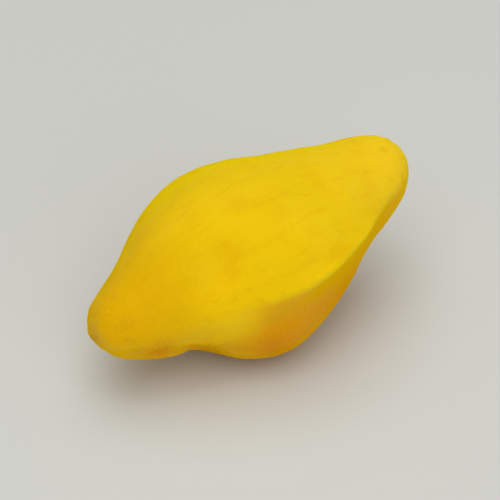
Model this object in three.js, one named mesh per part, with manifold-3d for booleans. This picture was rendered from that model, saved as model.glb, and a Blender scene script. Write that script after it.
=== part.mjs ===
// A peeled ginkgo kernel: one solid spindle with a soft keel down each side, lying on its belly.
// Millimetres, +Z up. +X runs from the base to the tip, and -Y is the side of the sharper keel.
// The origin is under the middle of the kernel, on the surface that it rests on.
import * as THREE from 'three';
import { mergeVertices } from 'three/addons/utils/BufferGeometryUtils.js';
import Module from 'manifold-3d';

const { degToRad, euclideanModulo, lerp } = THREE.MathUtils;

const LENGTH = 21.1;
const TIP_RISE = degToRad(9); // how far the tip is lifted off level
const KEEL_ROLL = degToRad(12); // how far the near keel is lifted off level
const FLAT_DEPTH = 0.34; // taken off the belly for the flat spot that it rests on

// How far the skin stands off the kernel's axis on each side, at equal steps of s from the base
// (s = 0) to the tip (s = 1). Each is scaled by the round of an ellipsoid, so the ends close.
const NEAR_SIDE = [3.5, 3.75, 3.8, 4.65, 5.9, 5.25, 4.2, 4.45, 4.5];
const FAR_SIDE = [3.65, 3.85, 3.7, 5.05, 6.1, 4.7, 3.85, 4.15, 4.3];
const UPPER_SIDE = [3.45, 3.9, 3.85, 4.95, 4.85, 3.9, 3.5, 3.85, 4.05];
const UNDER_SIDE = [2.9, 3.5, 3.85, 4.75, 5.95, 5.2, 4.1, 4.4, 4.3];

// How sharply the upper and under faces meet along the keels: 1 is a plain oval, 2 a lens.
const UPPER_KEENNESS = [1, 1, 1.05, 1.2, 1.5, 1.55, 1.4, 1.15, 1];
const UNDER_KEENNESS = [1, 1, 1, 1.1, 1.4, 1.45, 1.3, 1.05, 1];

// Soft hollows, and swellings where the depth is negative. Angles go round the kernel in degrees
// from the far keel at 0, over the top at 90, to the near keel at 180.
const HOLLOWS = [
  { name: 'crease under the base', at: 0.325, angle: 238, length: 0.04, width: 26, depth: 0.55 },
  { name: 'pinch beside the base', at: 0.16, angle: 222, length: 0.07, width: 12, depth: 0.14 },
  { name: 'belly beside the crease', at: 0.44, angle: 230, length: 0.07, width: 26, depth: -0.65 },
  { name: 'facet under the near keel', at: 0.54, angle: 206, length: 0.14, width: 13, depth: 0.38 },
  { name: 'near keel', at: 0.58, angle: 180, length: 0.14, width: 8, depth: -0.32 },
  { name: 'far keel', at: 0.5, angle: 0, length: 0.2, width: 6, depth: -0.1 },
  { name: 'far dent by the base', at: 0.4, angle: 318, length: 0.07, width: 24, depth: 0.35 },
  { name: 'far dent by the tip', at: 0.66, angle: 40, length: 0.08, width: 20, depth: 0.22 },
];

// The round scar at the base and the pinprick pore at the tip.
const BASE_SCAR = { radius: 1.0, depth: 0.22 };
const TIP_PORE = { radius: 0.45, depth: 0.3 };

// How finely the skin is divided.
const RINGS = 64;
const SPOKES = 64;

const along = values => new THREE.SplineCurve(values.map((value, i) => new THREE.Vector2(i, value)));

const nearSide = along(NEAR_SIDE);
const farSide = along(FAR_SIDE);
const upperSide = along(UPPER_SIDE);
const underSide = along(UNDER_SIDE);
const upperKeenness = along(UPPER_KEENNESS);
const underKeenness = along(UNDER_KEENNESS);

// A bell of height 1 that has fallen to 1/e at the distance of one spread.
const bell = (distance, spread) => Math.exp(-((distance / spread) ** 2));

function hollowDepth(s, angle) {
  return HOLLOWS.reduce((sum, hollow) => {
    const round = euclideanModulo(angle - hollow.angle + 180, 360) - 180;
    return sum + hollow.depth * bell(s - hollow.at, hollow.length) * bell(round, hollow.width);
  }, 0);
}

// The skin's point at s along the kernel and at an angle round it in degrees.
function skin(s, angle) {
  const across = Math.cos(degToRad(angle));
  const up = Math.sin(degToRad(angle));
  const side = (across < 0 ? nearSide : farSide).getPoint(s).y;
  const face = (up < 0 ? underSide : upperSide).getPoint(s).y;
  const keenness = (up < 0 ? underKeenness : upperKeenness).getPoint(s).y;
  const round = Math.sin(Math.PI * s);
  const y = side * round * across;
  const z = face * round * Math.sign(up) * Math.abs(up) ** keenness;
  const reach = Math.hypot(y, z);
  const inward = reach > 0 ? 1 - hollowDepth(s, angle) / reach : 0;
  const scar = BASE_SCAR.depth * bell(reach, BASE_SCAR.radius) * lerp(1, 0, Math.min(1, 2 * s));
  const pore = TIP_PORE.depth * bell(reach, TIP_PORE.radius) * lerp(0, 1, Math.max(0, 2 * s - 1));
  const x = -LENGTH / 2 * Math.cos(Math.PI * s) + scar - pore;
  return new THREE.Vector3(x, y * inward, z * inward);
}

// A closed skin over rings of points, with one point at each end.
function skinGeometry() {
  const points = [skin(0, 0)];
  for (let ring = 1; ring < RINGS; ring++) {
    for (let spoke = 0; spoke < SPOKES; spoke++) {
      points.push(skin(ring / RINGS, 360 * spoke / SPOKES));
    }
  }
  points.push(skin(1, 0));
  const last = points.length - 1;
  const faces = [];
  for (let spoke = 0; spoke < SPOKES; spoke++) {
    const next = (spoke + 1) % SPOKES;
    faces.push(0, 1 + next, 1 + spoke);
    for (let ring = 0; ring < RINGS - 2; ring++) {
      const here = 1 + ring * SPOKES;
      const there = here + SPOKES;
      faces.push(here + spoke, here + next, there + next);
      faces.push(here + spoke, there + next, there + spoke);
    }
    faces.push(last, last - SPOKES + spoke, last - SPOKES + next);
  }
  return new THREE.BufferGeometry().setFromPoints(points).setIndex(faces);
}

// The kernel in the pose that it lies in, its belly reaching below the surface by the flat's depth.
function lyingGeometry() {
  const lying = skinGeometry();
  lying.rotateX(-KEEL_ROLL);
  lying.rotateY(-TIP_RISE);
  lying.computeBoundingBox();
  const { min, max } = lying.boundingBox;
  return lying.translate(-(min.x + max.x) / 2, -(min.y + max.y) / 2, -min.z - FLAT_DEPTH);
}

const wasm = await Module();
wasm.setup();

function solidOf(geometry) {
  geometry.deleteAttribute('normal');
  geometry.deleteAttribute('uv');
  const merged = mergeVertices(geometry);
  return new wasm.Manifold(new wasm.Mesh({
    numProp: 3,
    vertProperties: merged.attributes.position.array,
    triVerts: new Uint32Array(merged.index.array),
  }));
}

function geometryOf(solid) {
  const mesh = solid.getMesh();
  const geometry = new THREE.BufferGeometry();
  geometry.setAttribute('position', new THREE.BufferAttribute(mesh.vertProperties, 3));
  return geometry.setIndex(new THREE.BufferAttribute(mesh.triVerts, 1));
}

const belowSurface = new THREE.BoxGeometry(2 * LENGTH, 2 * LENGTH, LENGTH).translate(0, 0, -LENGTH / 2);

const kernel = new THREE.Mesh(
  geometryOf(solidOf(lyingGeometry()).subtract(solidOf(belowSurface))),
  new THREE.MeshStandardMaterial({ color: 0xe9c310, roughness: 0.4, metalness: 0 }),
);
kernel.name = 'kernel';

const nut = new THREE.Group();
nut.add(kernel);

export default nut;
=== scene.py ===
"""A peeled ginkgo kernel, lying on its belly on a pale table under soft light from above."""

import math

import bpy
from mathutils import Euler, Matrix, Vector


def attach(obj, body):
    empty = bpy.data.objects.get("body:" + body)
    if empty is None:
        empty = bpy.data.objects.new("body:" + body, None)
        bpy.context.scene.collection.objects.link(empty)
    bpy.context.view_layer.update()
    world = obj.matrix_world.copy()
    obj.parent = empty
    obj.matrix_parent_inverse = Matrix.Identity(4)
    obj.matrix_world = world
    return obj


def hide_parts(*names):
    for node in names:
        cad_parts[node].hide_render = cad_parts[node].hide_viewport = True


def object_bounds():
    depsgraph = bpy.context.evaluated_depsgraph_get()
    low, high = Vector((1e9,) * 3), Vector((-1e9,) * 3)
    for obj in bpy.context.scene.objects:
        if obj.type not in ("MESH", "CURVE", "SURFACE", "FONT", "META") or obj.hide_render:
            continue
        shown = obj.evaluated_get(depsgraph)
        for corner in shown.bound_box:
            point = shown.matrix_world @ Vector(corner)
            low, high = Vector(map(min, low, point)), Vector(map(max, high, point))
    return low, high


MM = 0.001

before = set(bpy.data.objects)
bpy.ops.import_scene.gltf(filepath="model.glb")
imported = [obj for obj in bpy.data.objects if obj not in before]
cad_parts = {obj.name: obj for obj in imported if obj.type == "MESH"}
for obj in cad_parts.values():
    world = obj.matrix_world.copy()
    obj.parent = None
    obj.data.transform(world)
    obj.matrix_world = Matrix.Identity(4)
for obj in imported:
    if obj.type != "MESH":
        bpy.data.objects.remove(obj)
cad_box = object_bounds()

# The kernel's own axis runs from its base to its tip, with a keel on each side of it. It was
# rolled and lifted to lie on its belly, and this is where its middle came to.
AXIS_TURN = (math.radians(-12), math.radians(-9), 0)
AXIS_MIDDLE = Vector((-0.06, -0.02, 5.53)) * MM

# Places on the kernel, in millimetres along, across and up its own axes: the marks at its two
# ends, the two deepest folds under the base, and the clear yellow swelling beside them.
TIP_PORE = (10.3, 0, 0)
BASE_SCAR = (-10.3, 0, 0)
CREASE = (-5.5, -2.0, -2.6)
PINCH = (-7.8, -2.0, -1.5)
BELLY = (-4.0, -4.3, 0.3)

# Places where the skin is pressed in, or swollen where the height is positive: the place, the
# reach of the dent along, across and up, and its height, all in millimetres.
PRESSED = [
    # The folds pinched in under the base, and the swelling beside them.
    ((-9.0, -1.6, -0.9), (1.1, 0.9, 0.6), -0.16),
    ((-7.8, -2.0, -1.5), (1.3, 0.9, 0.6), -0.22),
    ((-6.6, -2.3, -2.0), (1.3, 0.9, 0.6), -0.20),
    ((-5.0, -3.0, -1.9), (1.6, 0.8, 0.6), 0.14),
    # The end of the base, the bottom of the belly, and the under side of the tip.
    ((-9.9, 0.1, -0.9), (1.3, 1.8, 1.3), -0.14),
    ((-3.3, -2.5, -4.2), (2.8, 1.9, 1.9), 0.17),
    ((5.2, -2.6, -2.9), (2.3, 1.8, 1.8), -0.15),
    ((8.0, -1.8, -1.8), (2.2, 1.7, 1.7), 0.15),
    # The back, from the middle out to both ends.
    ((-2.2, 3.3, 3.7), (3.2, 2.4, 2.4), 0.11),
    ((2.6, -2.6, 3.3), (2.6, 1.6, 1.6), -0.10),
    ((-3.2, 1.6, 4.6), (2.4, 1.8, 1.8), -0.09),
    ((6.6, 0.9, 2.5), (1.8, 1.2, 1.2), -0.08),
    ((8.7, -1.4, 1.2), (1.1, 0.8, 0.8), -0.06),
    ((-8.6, 1.2, 1.7), (1.2, 0.9, 0.9), -0.07),
    # The far side.
    ((4.4, 4.0, -1.2), (2.2, 1.2, 1.2), -0.14),
    ((-4.6, 3.9, -1.0), (1.9, 1.2, 1.2), -0.12),
    ((1.2, 4.4, 2.7), (1.4, 1.0, 1.0), -0.07),
]

# What the skin is remade from: even faces of this size, smoothed, then halved.
FACE_SIZE = 0.19 * MM
# Corners of the solid nearer to each other than this are one corner.
SAME_CORNER = 0.002 * MM


def on_kernel(along, across, up):
    """A point given in millimetres on the kernel's own axes."""
    return AXIS_MIDDLE + Euler(AXIS_TURN).to_matrix() @ (Vector((along, across, up)) * MM)


# ---- shape ----

def alone(piece):
    bpy.ops.object.select_all(action="DESELECT")
    piece.select_set(True)
    bpy.context.view_layer.objects.active = piece


def finish_with(piece, kind, **settings):
    """Adds a modifier and applies it."""
    modifier = piece.modifiers.new(kind.title(), kind)
    for name, value in settings.items():
        setattr(modifier, name, value)
    alone(piece)
    bpy.ops.object.modifier_apply(modifier=modifier.name)


def even_skin(node):
    """A copy of the kernel's solid with its skin remade of small even faces."""
    piece = node.copy()
    piece.data = node.data.copy()
    piece.name = piece.data.name = "kernel_flesh"
    bpy.context.scene.collection.objects.link(piece)
    alone(piece)
    bpy.ops.object.mode_set(mode="EDIT")
    bpy.ops.mesh.select_all(action="SELECT")
    bpy.ops.mesh.remove_doubles(threshold=SAME_CORNER)
    bpy.ops.object.mode_set(mode="OBJECT")
    finish_with(piece, "REMESH", mode="VOXEL", voxel_size=FACE_SIZE)
    finish_with(piece, "SMOOTH", factor=0.5, iterations=4)
    finish_with(piece, "SUBSURF", levels=1, render_levels=1)
    return piece


def patch(piece, at, reach):
    """A vertex group that is full at a place on the kernel and fades out smoothly at its reach."""
    group = piece.vertex_groups.new(name="patch")
    own_axes = Euler(AXIS_TURN).to_matrix().inverted()
    for vertex in piece.data.vertices:
        away = own_axes @ (vertex.co - AXIS_MIDDLE) / MM - Vector(at)
        square = sum((away[i] / reach[i]) ** 2 for i in range(3))
        if square < 1:
            group.add([vertex.index], (1 - square) ** 2, "REPLACE")
    return group.name


def press(piece, at, reach, height):
    """Raises the skin round a place, or presses it in where the height is negative."""
    finish_with(
        piece, "DISPLACE", strength=height * MM, mid_level=0, vertex_group=patch(piece, at, reach),
    )
    piece.vertex_groups.clear()


def relief(piece, height, grain, at=(0, 0, 0), reach=(20, 20, 20)):
    """Roughens the skin with cloudy relief laid along the kernel's own axes.

    The grain is the size of the clouds in millimetres along, across and up.
    """
    clouds = bpy.data.textures.new("clouds", "CLOUDS")
    clouds.noise_scale = 1
    clouds.noise_depth = 1
    bpy.ops.object.select_all(action="DESELECT")
    bpy.ops.object.empty_add(location=on_kernel(*at), rotation=AXIS_TURN)
    holder = bpy.context.object
    holder.scale = Vector(grain) * MM
    bpy.context.view_layer.update()
    finish_with(
        piece, "DISPLACE", texture=clouds, texture_coords="OBJECT", texture_coords_object=holder,
        strength=height * MM, mid_level=0.5, vertex_group=patch(piece, at, reach),
    )
    piece.vertex_groups.clear()
    bpy.data.objects.remove(holder)
    bpy.data.textures.remove(clouds)


def kernel_flesh():
    """The whole kernel: an even skin, pressed and swollen, then wrinkled."""
    piece = even_skin(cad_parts["kernel"])
    for at, reach, height in PRESSED:
        press(piece, at, reach, height)
    # Broad unevenness of the flesh, then faint wrinkles that run from base to tip.
    relief(piece, 0.18, (3.4, 2.6, 2.6))
    relief(piece, 0.06, (3.0, 0.7, 0.7))
    # Finer wrinkles gathered at both ends, and puckers in the crease under the base.
    relief(piece, 0.10, (1.6, 0.45, 0.45), TIP_PORE, (4.5, 4, 4))
    relief(piece, 0.10, (1.6, 0.5, 0.5), BASE_SCAR, (4, 4, 4))
    relief(piece, 0.25, (1.2, 0.5, 0.5), CREASE, (3, 2.4, 2.4))
    alone(piece)
    bpy.ops.object.shade_smooth()
    return piece


# ---- materials ----

# How much of the usual gloss the waxy skin has where it faces the eye.
SKIN_GLOSS = 0.22


def linear(hex_colour):
    """An sRGB hex colour as the linear colour that a shader takes."""
    channels = [int(hex_colour[i:i + 2], 16) / 255 for i in (1, 3, 5)]
    return [c / 12.92 if c <= 0.04045 else ((c + 0.055) / 1.055) ** 2.4 for c in channels] + [1.0]


def add(tree, kind, inputs=None, **settings):
    """Adds a node with its settings. An input given a socket is linked to it."""
    node = tree.nodes.new(kind)
    for name, value in settings.items():
        setattr(node, name, value)
    for name, value in (inputs or {}).items():
        if isinstance(value, bpy.types.NodeSocket):
            tree.links.new(value, node.inputs[name])
        else:
            node.inputs[name].default_value = value
    return node


def new_material(name):
    material = bpy.data.materials.new(name)
    material.use_nodes = True
    material.node_tree.nodes.clear()
    return material, material.node_tree


def boiled_flesh():
    """Boiled ginkgo flesh: waxy golden starch that light sinks into, with a satin skin."""
    material, tree = new_material("boiled_ginkgo_flesh")
    place = add(tree, "ShaderNodeTexCoord").outputs["Object"]
    own = add(tree, "ShaderNodeMapping", {
        "Vector": place, "Location": AXIS_MIDDLE, "Rotation": AXIS_TURN,
    }, vector_type="TEXTURE").outputs["Vector"]
    axes = add(tree, "ShaderNodeSeparateXYZ", {"Vector": own}).outputs

    def ramp(value, low, high, to_low=0.0, to_high=1.0):
        return add(tree, "ShaderNodeMapRange", {
            "Value": value, "From Min": low, "From Max": high,
            "To Min": to_low, "To Max": to_high,
        }, interpolation_type="SMOOTHSTEP").outputs["Result"]

    def noise(size, detail=2.0, roughness=0.5, stretch=1.0):
        """Noise with features of this size in millimetres, longer along the kernel's axis."""
        drawn = add(tree, "ShaderNodeMapping", {"Vector": own, "Scale": (1 / stretch, 1, 1)})
        return add(tree, "ShaderNodeTexNoise", {
            "Vector": drawn.outputs["Vector"], "Scale": 1 / (size * MM),
            "Detail": detail, "Roughness": roughness,
        }).outputs["Fac"]

    def blend(under, over, factor):
        return add(tree, "ShaderNodeMix", {
            "Factor": factor, "A": under, "B": over,
        }, data_type="RGBA").outputs["Result"]

    def product(first, second):
        return add(tree, "ShaderNodeMath", {0: first, 1: second}, operation="MULTIPLY").outputs[0]

    def total(first, second):
        return add(tree, "ShaderNodeMath", {0: first, 1: second}, operation="ADD").outputs[0]

    def distance(point):
        return add(tree, "ShaderNodeVectorMath", {
            0: own, 1: Vector(point) * MM,
        }, operation="DISTANCE").outputs["Value"]

    # Deeper ochre towards the base, clear yellow in the middle, paler at the tip.
    colour = blend(linear("#DFB206"), linear("#E7C70A"), ramp(axes["X"], -10 * MM, -1.5 * MM))
    # The paler tip is partly the flesh's own colour and partly a painted highlight of the soft
    # sheen on it.
    colour = blend(colour, linear("#F2CB1C"), ramp(axes["X"], 3 * MM, 9 * MM, 0.0, 0.6))
    # The under face is painted more orange: partly the flesh's own deeper colour, partly painted
    # shade and warm light thrown up from below. On the near side the belly beside the base keeps
    # less of it.
    belly = product(ramp(axes["Y"], -1 * MM, -3.5 * MM), ramp(axes["X"], -2 * MM, -4 * MM))
    under = product(ramp(axes["Z"], 0.4 * MM, -3.6 * MM, 0.0, 0.75), ramp(belly, 0, 1, 1, 0.4))
    colour = blend(colour, linear("#DE9804"), under)
    # The near facet below the keel is painted orange as shade, starting in a clear line at the
    # keel.
    near = product(ramp(axes["Y"], -1 * MM, -3 * MM), ramp(axes["X"], -4.6 * MM, -2.2 * MM))
    painted_facet_shade = product(near, ramp(axes["Z"], -0.1 * MM, -0.6 * MM))
    colour = blend(colour, linear("#DD9504"), product(painted_facet_shade, 0.55))
    # The lowest flesh is painted deeper orange still, as shade towards the bottom.
    colour = blend(colour, linear("#CC7A02"), ramp(axes["Z"], -1.6 * MM, -3.6 * MM, 0.0, 0.5))
    # A clearer, lighter yellow patch lies on the belly beside the folds under the base. The folds
    # themselves are painted deep orange as shade in the creases.
    colour = blend(colour, linear("#F6D008"), ramp(distance(BELLY), 3 * MM, 0.8 * MM, 0.0, 0.6))
    for fold in (CREASE, PINCH):
        painted_fold_shade = ramp(distance(fold), 1.6 * MM, 0.2 * MM, 0.0, 0.6)
        colour = blend(colour, linear("#CF8A04"), painted_fold_shade)
    # Cloudy starch: deeper and paler patches a few millimetres wide.
    deeper = ramp(noise(2.2, 3.0), 0.5, 0.75, 0.0, 0.25)
    colour = blend(colour, linear("#D79E06"), deeper)
    paler = ramp(noise(3.6, stretch=1.6), 0.45, 0.75, 0.0, 0.3)
    colour = blend(colour, linear("#F2D42A"), paler)
    # Fine streaks from base to tip, left by the inner skin.
    streaks = ramp(noise(0.35, stretch=9.0), 0.5, 0.75, 0.0, 0.2)
    colour = blend(colour, linear("#D9A306"), streaks)
    # Olive brown mottling towards both ends.
    ends = add(tree, "ShaderNodeMath", {0: axes["X"]}, operation="ABSOLUTE").outputs[0]
    mottled = product(ramp(ends, 6.5 * MM, 10.5 * MM), ramp(noise(0.8, 3.0, 0.6), 0.48, 0.72))
    colour = blend(colour, linear("#B08A14"), product(mottled, 0.28))
    # The pore at the tip is a tan dot in a paler ring. The scar at the base is a tan patch.
    ragged = ramp(noise(0.5, 3.0), 0.3, 0.7, -0.25 * MM, 0.25 * MM)
    tip = total(distance(TIP_PORE), ragged)
    colour = blend(colour, linear("#F0D468"), ramp(tip, 1.3 * MM, 0.7 * MM, 0.0, 0.35))
    colour = blend(colour, linear("#A0701E"), ramp(tip, 0.55 * MM, 0.0, 0.0, 0.8))
    base = total(distance(BASE_SCAR), ragged)
    colour = blend(colour, linear("#D9A92A"), ramp(base, 1.3 * MM, 0.7 * MM, 0.0, 0.5))
    colour = blend(colour, linear("#B58524"), ramp(base, 0.5 * MM, 0.2 * MM, 0.0, 0.5))

    # Starch grains just under the skin. Real ones are about 0.015 mm across, too fine to show, so
    # they are drawn ten times as coarse.
    starch = ramp(noise(0.16, roughness=0.6), 0.45, 0.75, 0.0, 0.14)
    colour = blend(colour, linear("#F2D42E"), starch)

    # The skin has a fine grain, with pores a third of a millimetre apart pricked into it.
    pores = add(tree, "ShaderNodeTexVoronoi", {"Vector": own, "Scale": 1 / (0.34 * MM)})
    grain = add(tree, "ShaderNodeBump", {
        "Height": noise(0.22, 3.0, 0.6, stretch=2.5), "Strength": 0.6, "Distance": 0.05 * MM,
    })
    skin = add(tree, "ShaderNodeBump", {
        "Height": ramp(pores.outputs["Distance"], 0.0, 0.35), "Strength": 0.35,
        "Distance": 0.03 * MM, "Normal": grain.outputs["Normal"],
    })
    # The waxy skin has a satin gloss that dies away where it is seen edge on.
    edge_on = add(tree, "ShaderNodeLayerWeight", {"Blend": 0.5}).outputs["Facing"]
    shader = add(tree, "ShaderNodeBsdfPrincipled", {
        "Base Color": colour,
        "Roughness": ramp(noise(0.8, 3.0), 0.3, 0.7, 0.34, 0.46),
        "IOR": 1.42,
        "Specular IOR Level": product(ramp(edge_on, 0.25, 0.7, 1.0, 0.0), SKIN_GLOSS),
        "Specular Tint": linear("#FFD64E"),
        "Subsurface Weight": 0.8,
        "Subsurface Radius": (1.0, 0.75, 0.2),
        "Subsurface Scale": 0.9 * MM,
        "Normal": skin.outputs["Normal"],
    })
    add(tree, "ShaderNodeOutputMaterial", {"Surface": shader.outputs["BSDF"]})
    return material


def matt_table():
    """Pale table top in matt paint, which keeps the light soft around the kernel."""
    material, tree = new_material("matt_table_paint")
    shader = add(tree, "ShaderNodeBsdfPrincipled", {
        "Base Color": linear("#CFD5DA"),
        "Roughness": 0.7,
    })
    add(tree, "ShaderNodeOutputMaterial", {"Surface": shader.outputs["BSDF"]})
    return material


# ---- stage ----

TABLE_SIZE = 1.2
LIGHT_SIZE = 0.30


def table_top():
    """A plain table, wide enough to fill the view."""
    bpy.ops.object.select_all(action="DESELECT")
    bpy.ops.mesh.primitive_plane_add(size=TABLE_SIZE)
    table = bpy.context.object
    table.name = "table_top"
    table.data.materials.append(matt_table())


def soft_light(name, place, watts, colour):
    """A round soft light that faces the kernel."""
    bpy.ops.object.light_add(type="AREA", location=place)
    light = bpy.context.object
    light.name = name
    light.data.shape = "DISK"
    light.data.size = LIGHT_SIZE
    light.data.energy = watts
    light.data.color = linear(colour)[:3]
    light.rotation_euler = (-Vector(place)).to_track_quat("-Z", "Y").to_euler()


def daylight():
    """A pale room, two windows and a low white card on the near side."""
    world = bpy.data.worlds.new("pale_room")
    world.use_nodes = True
    world.node_tree.nodes.clear()
    glow = add(world.node_tree, "ShaderNodeBackground", {
        "Color": linear("#ECDFC8"), "Strength": 0.42,
    })
    add(world.node_tree, "ShaderNodeOutputWorld", {"Surface": glow.outputs["Background"]})
    bpy.context.scene.world = world
    soft_light("window_above", (0.03, 0.06, 0.27), 0.27, "#FFFDF8")
    soft_light("window_near", (-0.08, -0.11, 0.24), 0.35, "#FFFDF8")
    soft_light("low_card", (-0.05, -0.27, 0.07), 0.23, "#FFFAF0")


# Where the camera stands: degrees round from the near side and up from level. Its lens is a
# long one, in millimetres, and the view is this wide at the kernel's middle.
CAMERA_ROUND = -37
CAMERA_UP = 38
LENS = 200
VIEW_WIDTH = 27 * MM
NEAREST_SEEN = 1 * MM


def camera():
    """A long lens that looks at the kernel's middle and takes in VIEW_WIDTH across."""
    middle = (cad_box[0] + cad_box[1]) / 2
    turn, rise = math.radians(CAMERA_ROUND), math.radians(CAMERA_UP)
    back = Vector((
        math.sin(turn) * math.cos(rise), -math.cos(turn) * math.cos(rise), math.sin(rise),
    ))
    bpy.ops.object.camera_add()
    eye = bpy.context.object
    eye.name = "camera"
    eye.data.lens = LENS
    eye.data.clip_start = NEAREST_SEEN
    eye.location = middle + back * (VIEW_WIDTH * LENS / eye.data.sensor_width)
    eye.rotation_euler = (-back).to_track_quat("-Z", "Y").to_euler()
    bpy.context.scene.camera = eye


camera()
kernel = kernel_flesh()
kernel.data.materials.clear()
kernel.data.materials.append(boiled_flesh())
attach(kernel, "root")
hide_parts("kernel")
table_top()
daylight()
bpy.context.scene.view_settings.view_transform = "Standard"
